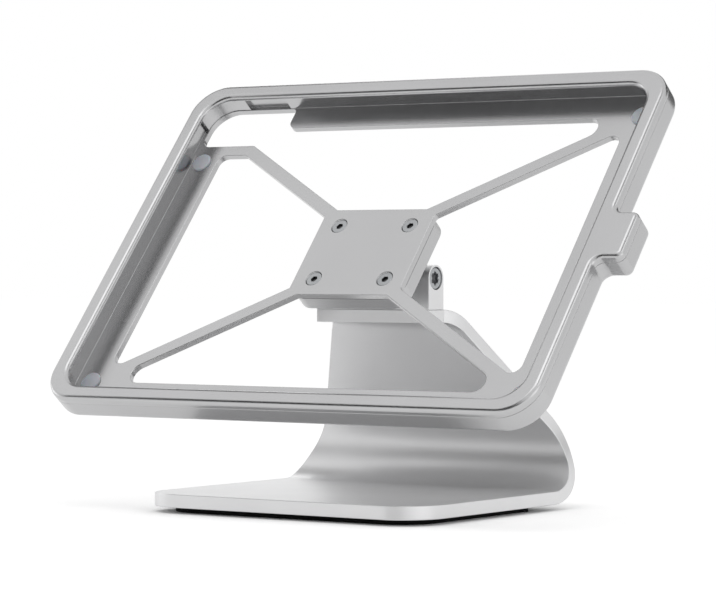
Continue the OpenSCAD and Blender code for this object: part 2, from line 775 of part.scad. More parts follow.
module front_bezel() color(pale_silver) on_tray() difference() {
  tray_body(-bezel_t, 0, front_edge_r, true);
  plate(box_outline(pocket_w - 2 * lip_w, pocket_h - 2 * lip_w, pocket_r), -bezel_t - over, over);
  plate(box_outline(pocket_w, pocket_h, pocket_r), -bezel_t - over, -lip_t);
  bezel_screw_places() translate([0, 0, -bezel_t - over])
    cylinder(d = small_d + 2 * snug, h = bezel_t + bezel_screw_tip + over);
}

module bezel_screws() color(steel) on_tray()
  bezel_screw_places() translate([0, 0, bezel_seat]) low_screw(bezel_screw_tip - 0.3 - bezel_seat);

module pad(x, y) {
  on_tray() translate([x, y, floor_z]) cylinder(r = pad_r, h = pad_t);
}

module pad_top_left() color(clear_grey) pad(-pocket_w / 2 + camera_pad_x, bar_top - camera_pad_y);

module pad_top_right() color(clear_grey) pad(pocket_w / 2 - pad_inset_x, pocket_h / 2 - pad_inset_y);

module pad_bottom_left() color(clear_grey) pad(-pocket_w / 2 + pad_inset_x, -pocket_h / 2 + pad_inset_y);

module pad_bottom_right() color(clear_grey) pad(pocket_w / 2 - pad_inset_x, -pocket_h / 2 + pad_inset_y);

module plug_holder() color(black) on_tray() difference() {
  low = [cavity_x0 + drop_gap, -cavity_y + drop_gap, cavity_z];
  high = [cavity_x1 - drop_gap, cavity_y - drop_gap, -bezel_t - drop_gap];
  plate(
    [[high.x, low.y, 1.5], [high.x, high.y, 1.5], [low.x, high.y, 1.5], [low.x, low.y, 1.5]],
    low.z, high.z
  );
  block([low.x - over, -plug_w / 2, high.z - plug_h], [low.x + plug_l, plug_w / 2, high.z + over]);
  translate([cable_x, 0, low.z - over]) cylinder(d = cable_d + 0.6, h = 2 * over + high.z - low.z);
  for (sy = [-1, 1]) translate([holder_screw_x, sy * holder_screw_y, 0]) {
    translate([0, 0, low.z - over]) cylinder(d = small_d + 2 * snug, h = high.z - low.z + 2 * over);
    translate([0, 0, high.z - small_head_t - 0.2])
      cylinder(d = small_head_d + 0.2, h = small_head_t + over);
  }
}

module holder_screws() color(steel) on_tray()
  for (sy = [-1, 1])
    translate([holder_screw_x, sy * holder_screw_y, -bezel_t - drop_gap - small_head_t - 0.2])
    rotate([180, 0, 0]) low_screw(-bezel_t - drop_gap - small_head_t - 0.2 - cavity_z + 1.4);

// A rubber ring in the housing's floor, with a rim on the outside
module cable_grommet() color(black) on_tray() translate([cable_x, 0, 0]) difference() {
  union() {
    translate([0, 0, rear_z]) cylinder(r = grommet_r, h = port_floor - drop_gap);
    translate([0, 0, rear_z - grommet_rim_t]) cylinder(r = grommet_r + grommet_rim, h = grommet_rim_t);
  }
  translate([0, 0, rear_z - grommet_rim_t - over]) cylinder(d = cable_d + 0.2, h = port_floor + 3 * over);
}

stand_sheet();
base_mat();
hinge_bracket();
bracket_screws();
hinge_axle();
pivot_screw_right();
pivot_screw_left();
disc_spring_right();
disc_spring_left();
friction_washer_right();
friction_washer_left();
hinge_bush_right();
hinge_bush_left();
hinge_knuckle();
knuckle_screws();
mount_block();
casing_screws();
tray_casing();
front_bezel();
bezel_screws();
pad_top_left();
pad_top_right();
pad_bottom_left();
pad_bottom_right();
plug_holder();
holder_screws();
cable_grommet();
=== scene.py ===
import math

import bmesh
import bpy
from mathutils import Matrix, Vector
from mathutils.geometry import tessellate_polygon


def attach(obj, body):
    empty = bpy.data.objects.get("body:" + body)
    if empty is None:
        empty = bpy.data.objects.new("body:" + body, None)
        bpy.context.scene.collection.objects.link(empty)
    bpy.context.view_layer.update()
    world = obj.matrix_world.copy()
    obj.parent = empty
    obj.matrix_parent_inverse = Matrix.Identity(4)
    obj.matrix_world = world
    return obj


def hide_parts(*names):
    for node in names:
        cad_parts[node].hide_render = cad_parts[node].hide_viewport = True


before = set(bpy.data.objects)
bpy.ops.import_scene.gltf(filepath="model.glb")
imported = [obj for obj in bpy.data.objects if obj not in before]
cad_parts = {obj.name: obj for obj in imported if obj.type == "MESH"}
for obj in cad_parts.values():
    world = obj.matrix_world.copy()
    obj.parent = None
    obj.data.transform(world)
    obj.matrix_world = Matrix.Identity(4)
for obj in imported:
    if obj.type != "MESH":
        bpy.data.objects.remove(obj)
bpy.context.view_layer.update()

# Sizes are in millimetres, as in the part's source, and become metres when a mesh is made.
MM = 0.001

# Tray, in its own frame: its front face at height 0, its middle at x 0, y 0
TRAY_W, TRAY_H, WALL_T = 260.6, 191.5, 6.0
POCKET_W, POCKET_H = 248.6, 179.5
PX, PY = POCKET_W / 2, POCKET_H / 2
CORNER_R, POCKET_R = 17.0, 12.5
BEZEL_T, LIP_T, LIP_W, LIP_R = 4.0, 2.4, 2.4, 2.35
FLOOR_Z, REAR_Z = -11.5, -14.5
BLOCK_REAR_Z, PIVOT_Z = -21.5, -30.0
FRONT_R, REAR_R = 2.2, 3.2
SEAM = 0.2
FOOT_R = 0.2
TILT = 40.0

# Housing at the right side
PORT_X, PORT_H, PORT_CORNER_R, PORT_NECK_R = 143.0, 25.5, 3.4, 4.0
CAVITY_X0, CAVITY_X1, CAVITY_Y, PLUG_W = 127.0, 139.6, 9.35, 12.4
CABLE_X, GROMMET_R = 130.6, 2.93

# Centre plate, arms and the openings between them
PLATE_W, PLATE_H, PLATE_CORNER_R, BLOCK_R = 60.0, 50.0, 2.5, 8.5
WINDOW_X, WINDOW_Y, WINDOW_R, WINDOW_TIP_R, WINDOW_EDGE_R = 109.3, 76.95, 4.5, 5.6, 0.32
ARM_W, ARM_X, ARM_FOOT = 6.2, 24.5, 5.5
ARM_ANGLE = math.atan2(WINDOW_Y - PLATE_H / 2, WINDOW_X - ARM_X)
ARM_SIDE_Y = PLATE_H / 2 + ARM_FOOT * math.tan(ARM_ANGLE) - ARM_W / math.cos(ARM_ANGLE)
ARM_END_Y = WINDOW_Y - ARM_W / math.cos(ARM_ANGLE)

# Cut-out for the tablet's camera, and the bar under it
CUTOUT_W, CUTOUT_H, CUTOUT_R, CUTOUT_TOP_R, RIM = 47.0, 23.4, 5, 2.5, 0.4
BAR_W, BAR_R = 6.0, 2
CUTOUT_X = CUTOUT_W - PX
BAR_TOP = PY - CUTOUT_H
BAR_FOOT = BAR_TOP - BAR_W
BAR_TOP_X = ARM_X + (BAR_TOP - PLATE_H / 2) / math.tan(ARM_ANGLE)
BAR_FOOT_X = PLATE_W / 2 + (BAR_FOOT - ARM_SIDE_Y) / math.tan(ARM_ANGLE)

# Reliefs in the pocket's walls: ends and depth
TOP_RELIEF = (-PX + 19.3, -PX + 43.3, 1.7)
SIDE_RELIEF = (PY - 28.7, PY - 11.7, 1.5)

# Screws and pads
SCREW_X, SCREW_Y = 19.25, 15.5
SCREW_HOLE_R, HEAD_HOLE_R = 2.06, 4.06
BEZEL_SCREW_R, BEZEL_SCREW_GAP, BEZEL_HOLE_R = 1.1, 1.3, 2.1
PIVOT_HEAD_T, PIVOT_SCREW_L, SOCKET_R = 3.5, 9, 3.1
HEAD_DROP = 0.3
PAD_T = 1.0
PAD_X, PAD_Y = 8.8, 12.2
CUTOUT_PAD_X, CUTOUT_PAD_Y = 6.2, 10.5

# Steps round a corner and over an edge
CORNER_STEPS, EDGE_STEPS = 20, 8

# Stand sheet and mat
SHEET_T, BASE_W, BASE_L, BASE_CORNER_R = 6.0, 150.0, 111.0, 20.0
BEND_R, LEAN, UPRIGHT_L, TOP_BEND_R, SHELF_W, SHELF_L = 18.0, 35.5, 52.0, 10.0, 61.2, 12.0
TAPER_START, TAPER_R, SHEET_EDGE_R = 18.0, 42.0, 0.4
MAT_T, MAT_INSET, MAT_FRONT_R, MAT_BACK_R = 2.7, 7.5, 17, 5
PIVOT_H = 14.0

MID_Z = MAT_T + SHEET_T / 2
TURN, TOP_TURN = math.radians(90 + LEAN), math.radians(90 - LEAN)
MID_R, TOP_MID_R = BEND_R + SHEET_T / 2, TOP_BEND_R + SHEET_T / 2
BEND_L, TOP_BEND_L = MID_R * TURN, TOP_MID_R * TOP_TURN
UPRIGHT_S = BASE_L + BEND_L
TOP_BEND_S = UPRIGHT_S + UPRIGHT_L
SHELF_S = TOP_BEND_S + TOP_BEND_L
END_S = SHELF_S + SHELF_L
BEND_CENTRE = Vector((BASE_L / 2, MID_Z + MID_R))
UPRIGHT_START = BEND_CENTRE + MID_R * Vector((math.sin(TURN), -math.cos(TURN)))
UPRIGHT_END = UPRIGHT_START + UPRIGHT_L * Vector((math.cos(TURN), math.sin(TURN)))
TOP_CENTRE = UPRIGHT_END + TOP_MID_R * Vector((-math.sin(TURN), math.cos(TURN)))
SHELF_START = TOP_CENTRE + Vector((0, TOP_MID_R))
SHELF_TOP = SHELF_START.y + SHEET_T / 2
PIVOT = Vector((0, SHELF_START.x - SHELF_L / 2, SHELF_TOP + PIVOT_H))

IN_TRAY = (
    Matrix.Translation(PIVOT) @ Matrix.Rotation(math.radians(90 - TILT), 4, "X")
    @ Matrix.Translation((0, 0, -PIVOT_Z))
)
IN_STAND = Matrix.Identity(4)


# Outlines
def outline(points, inset=0.0, steps=10):
    """Points of a closed outline of (x, y, radius) corners, drawn in by inset or, below 0, out."""
    area = sum(
        points[i][0] * points[(i + 1) % len(points)][1] - points[(i + 1) % len(points)][0] * points[i][1]
        for i in range(len(points))
    )
    side = 1 if area > 0 else -1
    corners = []
    for i, (x, y, r) in enumerate(points):
        a = Vector(points[i - 1][:2])
        b = Vector(points[(i + 1) % len(points)][:2])
        p = Vector((x, y))
        e1, e2 = (p - a).normalized(), (b - p).normalized()
        n1, n2 = side * Vector((-e1.y, e1.x)), side * Vector((-e2.y, e2.x))
        moved = p + (n1 + n2) * inset / (1 + n1.dot(n2))
        convex = side * (e1.x * e2.y - e1.y * e2.x) > 0
        corners.append((moved, max(0.02, r - inset if convex else r + inset) if r else 0))
    result = []
    for i, (p, r) in enumerate(corners):
        if not r:
            result.append(p)
            continue
        u = (corners[i - 1][0] - p).normalized()
        v = (corners[(i + 1) % len(corners)][0] - p).normalized()
        half = math.acos(max(-1, min(1, u.dot(v)))) / 2
        c = p + (u + v).normalized() * r / math.sin(half)
        s, e = p + u * r / math.tan(half) - c, p + v * r / math.tan(half) - c
        start = math.atan2(s.y, s.x)
        sweep = (math.atan2(e.y, e.x) - start + math.pi) % (2 * math.pi) - math.pi
        result += [
            c + r * Vector((math.cos(start + sweep * k / steps), math.sin(start + sweep * k / steps)))
            for k in range(steps + 1)
        ]
    return result


def circle(x, y, r, steps=32):
    """Points of a circle."""
    return [
        Vector((x + r * math.cos(2 * math.pi * k / steps), y + r * math.sin(2 * math.pi * k / steps)))
        for k in range(steps)
    ]


def rectangle(w, h, r):
    """Corners of a rounded rectangle, anticlockwise."""
    return [(w / 2, -h / 2, r), (w / 2, h / 2, r), (-w / 2, h / 2, r), (-w / 2, -h / 2, r)]


def fillet(z, r, up, steps=5):
    """(height, inset) steps of an edge that is rounded into the face at z; up is 1 for an upper face."""
    angles = [math.pi / 2 * k / steps for k in range(steps + 1)]
    return [(z - up * r * (1 - math.sin(t)), r * (1 - math.cos(t))) for t in angles]


# Meshes
class Shell:
    """Collects rings, walls and flat faces into one mesh."""

    def __init__(self):
        self.verts, self.faces = [], []
        self.dark = []

    def ring(self, points, z=None):
        """Adds the points, at height z if they are flat, and gives their numbers."""
        first = len(self.verts)
        self.verts += [Vector((p.x, p.y, z)) if z is not None else Vector(p) for p in points]
        return list(range(first, len(self.verts)))

    def wall(self, rings):
        """Closed walls from each ring to the next."""
        for a, b in zip(rings, rings[1:]):
            for i in range(len(a)):
                j = (i + 1) % len(a)
                self.faces.append((a[i], a[j], b[j], b[i]))

    def sweep(self, points, levels, steps=10):
        """A wall through the outline's rings at each (height, inset); gives the first and last ring."""
        rings = [self.ring(outline(points, inset, steps), z) for z, inset in levels]
        self.wall(rings)
        return rings[0], rings[-1]

    def tube(self, x, y, levels, steps=32):
        """A round wall through each (height, radius)."""
        rings = [self.ring(circle(x, y, r, steps), z) for z, r in levels]
        self.wall(rings)
        return rings[0], rings[-1]

    def fill(self, *rings):
        """A flat face inside the first ring, with the others as holes."""
        flat = [i for r in rings for i in r]
        loops = [[self.verts[i] for i in r] for r in rings]
        for tri in tessellate_polygon(loops):
            self.faces.append(tuple(flat[k] for k in tri))

    def cap(self, ring):
        """One face over a ring."""
        self.faces.append(tuple(ring))

    def shade(self, first):
        """The faces made since there were `first` of them take the darker material, which paints shade
        into the depths of the screws' sockets.
        """
        self.dark += range(first, len(self.faces))

    def mesh(self, name, place):
        """The mesh in metres, with its doubled points joined and its normals outward."""
        mesh = bpy.data.meshes.new(name)
        mesh.from_pydata([(place @ v) * MM for v in self.verts], [], self.faces)
        for i in self.dark:
            mesh.polygons[i].material_index = 1
        work = bmesh.new()
        work.from_mesh(mesh)
        bmesh.ops.remove_doubles(work, verts=work.verts, dist=1e-6)
        bmesh.ops.recalc_face_normals(work, faces=work.faces)
        work.to_mesh(mesh)
        work.free()
        return mesh

    def make(
        self, name, body, material, place, replaces, sharp=40.0, darker=None, drill=None
    ):
        """Makes the piece, less what the shell `drill` holds, on its body in place of its nodes."""
        mesh = self.mesh(name, place)
        if drill:
            mesh = cut_out(mesh, drill.mesh("drill", place))
        mesh.shade_smooth()
        mesh.set_sharp_from_angle(angle=math.radians(sharp))
        piece = bpy.data.objects.new(name, mesh)
        bpy.context.scene.collection.objects.link(piece)
        normals = piece.modifiers.new("flat faces", "WEIGHTED_NORMAL")
        normals.keep_sharp = True
        mesh.materials.append(material)
        if darker:
            mesh.materials.append(darker)
        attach(piece, body)
        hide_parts(*replaces)


def cut_out(mesh, tool):
    """The mesh without what lies inside the tool's mesh."""
    body, cutter = bpy.data.objects.new("body", mesh), bpy.data.objects.new("cutter", tool)
    for item in (body, cutter):
        bpy.context.scene.collection.objects.link(item)
    cut = body.modifiers.new("cut", "BOOLEAN")
    cut.object, cut.solver = cutter, "EXACT"
    graph = bpy.context.evaluated_depsgraph_get()
    result = bpy.data.meshes.new_from_object(body.evaluated_get(graph))
    for item in (body, cutter):
        bpy.data.objects.remove(item)
    return result


# Materials
def principled(name, **sockets):
    """A material with its node tree, its shader, and the sockets given."""
    material = bpy.data.materials.new(name)
    material.use_nodes = True
    shader = material.node_tree.nodes["Principled BSDF"]
    for key, value in sockets.items():
        shader.inputs[key.replace("_", " ")].default_value = value
    return material, material.node_tree, shader


def add(tree, kind, **values):
    """A node with its properties or input values set."""
    node = tree.nodes.new(kind)
    for key, value in values.items():
        if hasattr(node, key):
            setattr(node, key, value)
        else:
            node.inputs[key.replace("_", " ")].default_value = value
    return node


def grain(tree, scale, stretch, detail=4.0):
    """Noise in object coordinates, stretched by the scale along each axis."""
    coords = add(tree, "ShaderNodeTexCoord")
    mapping = add(tree, "ShaderNodeMapping")
    mapping.inputs["Scale"].default_value = stretch
    noise = add(tree, "ShaderNodeTexNoise", Scale=scale, Detail=detail)
    tree.links.new(coords.outputs["Object"], mapping.inputs["Vector"])
    tree.links.new(mapping.outputs["Vector"], noise.inputs["Vector"])
    return noise.outputs["Fac"]


def ramp(tree, source, low, high, a=0.3, b=0.7):
    """Maps a factor from a..b to low..high, as colours or as grey values."""
    node = add(tree, "ShaderNodeValToRGB")
    for element, position, value in zip(node.color_ramp.elements, (a, b), (low, high)):
        element.position = position
        element.color = (*value, 1) if isinstance(value, tuple) else (value, value, value, 1)
    tree.links.new(source, node.inputs["Fac"])
    return node.outputs["Color"]


def bump(tree, shader, source, strength, distance):
    """Relief from a factor, up to a distance in metres."""
    node = add(tree, "ShaderNodeBump", Strength=strength, Distance=distance)
    tree.links.new(source, node.inputs["Height"])
    tree.links.new(node.outputs["Normal"], shader.inputs["Normal"])


def metal(name, light, dark, rough, spread, stretch, scale=1.0, metallic=1.0, relief=0.2):
    """Aluminium or steel: its colour, roughness and relief vary with a fine, stretched grain."""
    material, tree, shader = principled(name, Metallic=metallic)
    lines = grain(tree, 900 * scale, stretch)
    broad = grain(tree, 14 * scale, (1, 1, 1), 2.0)
    tree.links.new(ramp(tree, broad, dark, light), shader.inputs["Base Color"])
    tree.links.new(ramp(tree, lines, rough - spread, rough + spread), shader.inputs["Roughness"])
    if relief:
        bump(tree, shader, lines, relief, 0.000004)
    return material


EVEN = (1, 1, 1)
BRUSHED = metal(
    "brushed_aluminium", (0.505, 0.505, 0.51), (0.475, 0.475, 0.48), 0.25, 0.008, (0.05, 1, 1), relief=0
)
SATIN = metal("satin_aluminium", (0.73, 0.73, 0.735), (0.70, 0.70, 0.705), 0.39, 0.03, EVEN, 2.0, 0.9)
MACHINED = metal("machined_aluminium", (0.49, 0.49, 0.50), (0.46, 0.46, 0.47), 0.34, 0.04, (1, 0.1, 1))
STEEL = metal("zinc_steel", (0.41, 0.42, 0.43), (0.35, 0.36, 0.37), 0.28, 0.06, EVEN, 3.0)
DARK_STEEL = metal("oiled_steel", (0.17, 0.17, 0.18), (0.11, 0.11, 0.12), 0.35, 0.08, EVEN, 3.0)
# Painted shade: a darker steel that stands in for the shade in the depths of the screws' sockets.
SOCKET_SHADE = metal("socket_painted_shade", (0.17, 0.17, 0.175), (0.11, 0.11, 0.115), 0.4, 0.08, EVEN, 3.0)
BRONZE = metal("bush_bronze", (0.62, 0.43, 0.22), (0.52, 0.35, 0.17), 0.35, 0.06, EVEN, 3.0)


def soft_black(name, colour, rough, size, gloss=0.5):
    """Black rubber or plastic with a fine pebble."""
    material, tree, shader = principled(name, Roughness=rough, Specular_IOR_Level=gloss)
    pebble = grain(tree, size, EVEN)
    tree.links.new(ramp(tree, pebble, colour * 0.8, colour * 1.25), shader.inputs["Base Color"])
    bump(tree, shader, pebble, 0.35, 0.00005)
    return material


RUBBER = soft_black("mat_rubber", 0.006, 0.8, 900, 0.12)
PLASTIC = soft_black("moulded_plastic", 0.022, 0.45, 1600)
LINING = soft_black("friction_lining", 0.03, 0.6, 1200)

SILICONE, silicone_tree, silicone_shader = principled(
    "pad_silicone", Roughness=0.32, Transmission_Weight=0.25, IOR=1.41, Subsurface_Weight=0.3
)
silicone_shader.inputs["Subsurface Scale"].default_value = 0.002
haze = grain(silicone_tree, 300, EVEN)
silicone_colour = ramp(silicone_tree, haze, (0.57, 0.60, 0.65), (0.65, 0.68, 0.73))
silicone_tree.links.new(silicone_colour, silicone_shader.inputs["Base Color"])


# The stand's sheet and mat
def sheet_place(s):
    """The sheet's middle line at length s: (y, z, heading)."""
    if s <= BASE_L:
        return -BASE_L / 2 + s, MID_Z, 0.0
    if s <= UPRIGHT_S:
        t = TURN * (s - BASE_L) / BEND_L
        return BEND_CENTRE.x + MID_R * math.sin(t), BEND_CENTRE.y - MID_R * math.cos(t), t
    if s <= TOP_BEND_S:
        d = s - UPRIGHT_S
        return UPRIGHT_START.x + d * math.cos(TURN), UPRIGHT_START.y + d * math.sin(TURN), TURN
    if s <= SHELF_S:
        t = TURN + TOP_TURN * (s - TOP_BEND_S) / TOP_BEND_L
        return TOP_CENTRE.x + TOP_MID_R * math.sin(t), TOP_CENTRE.y - TOP_MID_R * math.cos(t), t
    return SHELF_START.x - (s - SHELF_S), SHELF_START.y, math.pi


def draw_in(e, r):
    """How far a rounding of radius r draws in at distance e from the end."""
    return 0.0 if e >= r else r - math.sqrt(max(0.0, r * r - (r - e) ** 2))


def taper(s):
    """How far each side of the sheet has come in at length s; the start of the taper is rounded."""
    corner = BASE_L + TAPER_START
    slope = (BASE_W - SHELF_W) / 2 / (SHELF_S - corner)
    angle = math.atan(slope)
    tangent = TAPER_R * math.tan(angle / 2)
    along = min(s, SHELF_S) - corner
    if along <= -tangent:
        return 0.0
    if along < tangent * math.cos(angle):
        return TAPER_R - math.sqrt(TAPER_R ** 2 - (along + tangent) ** 2)
    return slope * along


def sheet_ring(s, steps=4):
    """The sheet's section at length s, with rounded edges."""
    y, z, heading = sheet_place(s)
    edge = min(s, END_S - s)
    hx = BASE_W / 2 - taper(s) - draw_in(s, BASE_CORNER_R) - draw_in(edge, SHEET_EDGE_R)
    hn = SHEET_T / 2 - draw_in(edge, SHEET_EDGE_R)
    r = min(SHEET_EDGE_R, hn)
    points = []
    for q, (sx, sn) in enumerate(((1, 1), (-1, 1), (-1, -1), (1, -1))):
        for k in range(steps + 1):
            t = math.pi / 2 * (q + k / steps)
            x, n = sx * (hx - r) + r * math.cos(t), sn * (hn - r) + r * math.sin(t)
            points.append(Vector((x, y + n * math.sin(heading), z - n * math.cos(heading))))
    return points


def build_stand():
    """The bent sheet, with more sections where it is rounded, and the mat under its base."""
    corner = [BASE_CORNER_R * (1 - math.cos(math.pi / 2 * k / 28)) for k in range(29)]
    edge = [SHEET_EDGE_R * (1 - math.cos(math.pi / 2 * k / 6)) for k in range(7)]
    stations = sorted(set(round(s, 5) for s in (
        corner + edge
        + [BASE_CORNER_R + (BASE_L - BASE_CORNER_R) * k / 6 for k in range(1, 7)]
        + [BASE_L + BEND_L * k / 64 for k in range(65)]
        + [UPRIGHT_S + UPRIGHT_L * k / 8 for k in range(9)]
        + [TOP_BEND_S + TOP_BEND_L * k / 24 for k in range(25)]
        + [SHELF_S + (SHELF_L - SHEET_EDGE_R) * k / 3 for k in range(4)]
        + [END_S - e for e in edge]
    )))
    shell = Shell()
    rings = [shell.ring(sheet_ring(s)) for s in stations]
    shell.wall(rings)
    shell.cap(rings[0])
    shell.cap(rings[-1])
    shell.make("stand_sheet_dressed", "stand", SATIN, IN_STAND, ["stand_sheet"], 60)

    mat = Shell()
    x, y = BASE_W / 2 - MAT_INSET, BASE_L / 2 - MAT_INSET
    corners = [(x, -y, MAT_FRONT_R), (x, y, MAT_BACK_R), (-x, y, MAT_BACK_R), (-x, -y, MAT_FRONT_R)]
    low, high = mat.sweep(corners, [(0, 0.5), (0.15, 0.15), (0.5, 0), (MAT_T, 0)], 16)
    mat.cap(low)
    mat.cap(high)
    mat.make("base_mat_dressed", "stand", RUBBER, IN_STAND, ["base_mat"])


# The tray and the screws
OUTER = [
    (TRAY_W / 2, -TRAY_H / 2, CORNER_R), (TRAY_W / 2, -PORT_H / 2, PORT_NECK_R),
    (PORT_X, -PORT_H / 2, PORT_CORNER_R), (PORT_X, PORT_H / 2, PORT_CORNER_R),
    (TRAY_W / 2, PORT_H / 2, PORT_NECK_R), (TRAY_W / 2, TRAY_H / 2, CORNER_R),
    (-TRAY_W / 2, TRAY_H / 2, CORNER_R), (-TRAY_W / 2, -TRAY_H / 2, CORNER_R),
]
POCKET = [
    (PX, -PY, POCKET_R), (PX, -PLUG_W / 2, 0), (CAVITY_X0, -PLUG_W / 2, 0), (CAVITY_X0, -CAVITY_Y, 0),
    (CAVITY_X1, -CAVITY_Y, 0), (CAVITY_X1, CAVITY_Y, 0), (CAVITY_X0, CAVITY_Y, 0),
    (CAVITY_X0, PLUG_W / 2, 0), (PX, PLUG_W / 2, 0), (PX, PY, POCKET_R),
    (TOP_RELIEF[1], PY, 0), (TOP_RELIEF[1], PY + TOP_RELIEF[2], 0),
    (TOP_RELIEF[0], PY + TOP_RELIEF[2], 0), (TOP_RELIEF[0], PY, 0),
    (-PX, PY, POCKET_R), (-PX, SIDE_RELIEF[1], 0), (-PX - SIDE_RELIEF[2], SIDE_RELIEF[1], 0),
    (-PX - SIDE_RELIEF[2], SIDE_RELIEF[0], 0), (-PX, SIDE_RELIEF[0], 0), (-PX, -PY, POCKET_R),
]
WINDOWS = [
    [
        (-ARM_X, PLATE_H / 2, 0), (ARM_X, PLATE_H / 2, 0), (WINDOW_X, WINDOW_Y, WINDOW_TIP_R),
        (CUTOUT_X, WINDOW_Y, WINDOW_R), (CUTOUT_X, PY - RIM, CUTOUT_TOP_R),
        (-PX + RIM, PY - RIM, POCKET_R), (-PX + RIM, BAR_TOP, CUTOUT_R), (-BAR_TOP_X, BAR_TOP, BAR_R),
    ],
    [
        (-ARM_X, -PLATE_H / 2, 0), (-WINDOW_X, -WINDOW_Y, WINDOW_TIP_R),
        (WINDOW_X, -WINDOW_Y, WINDOW_TIP_R), (ARM_X, -PLATE_H / 2, 0),
    ],
    [
        (PLATE_W / 2, -ARM_SIDE_Y, PLATE_CORNER_R), (WINDOW_X, -ARM_END_Y, WINDOW_R),
        (WINDOW_X, ARM_END_Y, WINDOW_R), (PLATE_W / 2, ARM_SIDE_Y, PLATE_CORNER_R),
    ],
    [
        (-PLATE_W / 2, -ARM_SIDE_Y, 0), (-PLATE_W / 2, ARM_SIDE_Y, 0), (-BAR_FOOT_X, BAR_FOOT, BAR_R),
        (-WINDOW_X, BAR_FOOT, WINDOW_R), (-WINDOW_X, -ARM_END_Y, WINDOW_R),
    ],
]


def bezel_screw_places():
    """Where the screws that hold the bezel are put in from the rear."""
    inward = WALL_T - BEZEL_SCREW_R - BEZEL_SCREW_GAP
    x, y = TRAY_W / 2 - inward, TRAY_H / 2 - inward
    corner_gap = 3.5
    row_x, row_y = TRAY_W / 2 - CORNER_R - corner_gap, (PORT_H / 2 + TRAY_H / 2 - CORNER_R) / 2
    rows = [(k * row_x, sy * y) for sy in (-1, 1) for k in (-1, -1 / 3, 1 / 3, 1)]
    return rows + [(sx * x, sy * row_y) for sx in (-1, 1) for sy in (-1, 1)]


def casing_screw_places():
    """Where the screws of the centre plate are."""
    return [(x, y) for x in (-SCREW_X, SCREW_X) for y in (-SCREW_Y, SCREW_Y)]


def build_casing():
    """The tray without its bezel. The bezel screws' holes cross its rear rounding, so they are cut."""
    shell = Shell()
    seam = [(-BEZEL_T, SEAM), (-BEZEL_T - SEAM, 0.0)]
    top, rear = shell.sweep(OUTER, seam + fillet(REAR_Z, REAR_R, -1, EDGE_STEPS), CORNER_STEPS)
    turns = (0, 0.4, 0.8, 1.2, math.pi / 2)
    joint = [(FLOOR_Z + FOOT_R * (1 - math.sin(t)), FOOT_R * (1 - math.cos(t))) for t in turns]
    pocket_top, pocket_foot = shell.sweep(POCKET, [(-BEZEL_T, 0)] + joint, CORNER_STEPS)
    shell.fill(top, pocket_top)
    upper, lower = [pocket_foot], [rear]
    above = [(z, -d) for z, d in reversed(fillet(FLOOR_Z, WINDOW_EDGE_R, 1, 3))]
    below = [(z, -d) for z, d in fillet(REAR_Z, WINDOW_EDGE_R, -1, 3)]
    openings = [shell.sweep(window, above + below) for window in WINDOWS]
    sink = [(FLOOR_Z, HEAD_HOLE_R + 0.19), (FLOOR_Z - 0.08, HEAD_HOLE_R + 0.06)]
    sink += [(FLOOR_Z - 0.55, HEAD_HOLE_R), (FLOOR_Z - 2.55, SCREW_HOLE_R), (REAR_Z, SCREW_HOLE_R)]
    openings += [shell.tube(x, y, sink) for x, y in casing_screw_places()]
    openings.append(shell.tube(CABLE_X, 0, [(FLOOR_Z, GROMMET_R), (REAR_Z, GROMMET_R)]))
    for a, b in openings:
        upper.append(a)
        lower.append(b)
    shell.fill(*upper)
    shell.fill(*lower)
    holes = Shell()
    for x, y in bezel_screw_places():
        a, b = holes.tube(x, y, [(FLOOR_Z, BEZEL_HOLE_R), (REAR_Z - 1, BEZEL_HOLE_R)])
        holes.cap(a)
        holes.cap(b)
    shell.make(
        "tray_casing_dressed", "tray", BRUSHED, IN_TRAY, ["tray_casing"], 50, drill=holes
    )


def build_bezel():
    """The front frame, with its lip over the pocket."""
    shell = Shell()
    seam = [(-BEZEL_T, SEAM), (-BEZEL_T + SEAM, 0.0)]
    foot, front = shell.sweep(OUTER, seam + fillet(0, FRONT_R, 1, EDGE_STEPS), CORNER_STEPS)
    opening = rectangle(POCKET_W - 2 * LIP_W, POCKET_H - 2 * LIP_W, POCKET_R)
    pocket = rectangle(POCKET_W, POCKET_H, POCKET_R)
    lip = [(z, -d) for z, d in reversed(fillet(0, LIP_R, 1, 10))]
    mouth, lip_foot = shell.sweep(opening, lip + [(-LIP_T, 0)], CORNER_STEPS)
    lip_back, wall_foot = shell.sweep(pocket, [(-LIP_T, 0), (-BEZEL_T, 0)], CORNER_STEPS)
    shell.fill(front, mouth)
    shell.fill(lip_back, lip_foot)
    shell.fill(foot, wall_foot)
    shell.make("front_bezel_dressed", "tray", BRUSHED, IN_TRAY, ["front_bezel"], 50)


def build_block():
    """The block behind the centre plate, with a slot for the knuckle in its rear."""
    shell = Shell()
    corners = rectangle(PLATE_W, PLATE_H, BLOCK_R)
    block_edge, slot_w, slot_h, slot_r, slot_depth, slot_edge = 0.4, 26.6, 10.4, 0.3, 4, 0.2
    top, rear = shell.sweep(corners, [(REAR_Z, 0)] + fillet(BLOCK_REAR_Z, block_edge, -1, 4), 16)
    slot = rectangle(slot_w, slot_h, slot_r)
    levels = [(BLOCK_REAR_Z, -slot_edge), (BLOCK_REAR_Z + slot_edge, 0), (BLOCK_REAR_Z + slot_depth, 0)]
    mouth, foot = shell.sweep(slot, levels, 4)
    shell.cap(top)
    shell.cap(foot)
    shell.fill(rear, mouth)
    shell.make("mount_block_dressed", "tray", BRUSHED, IN_TRAY, ["mount_block"])


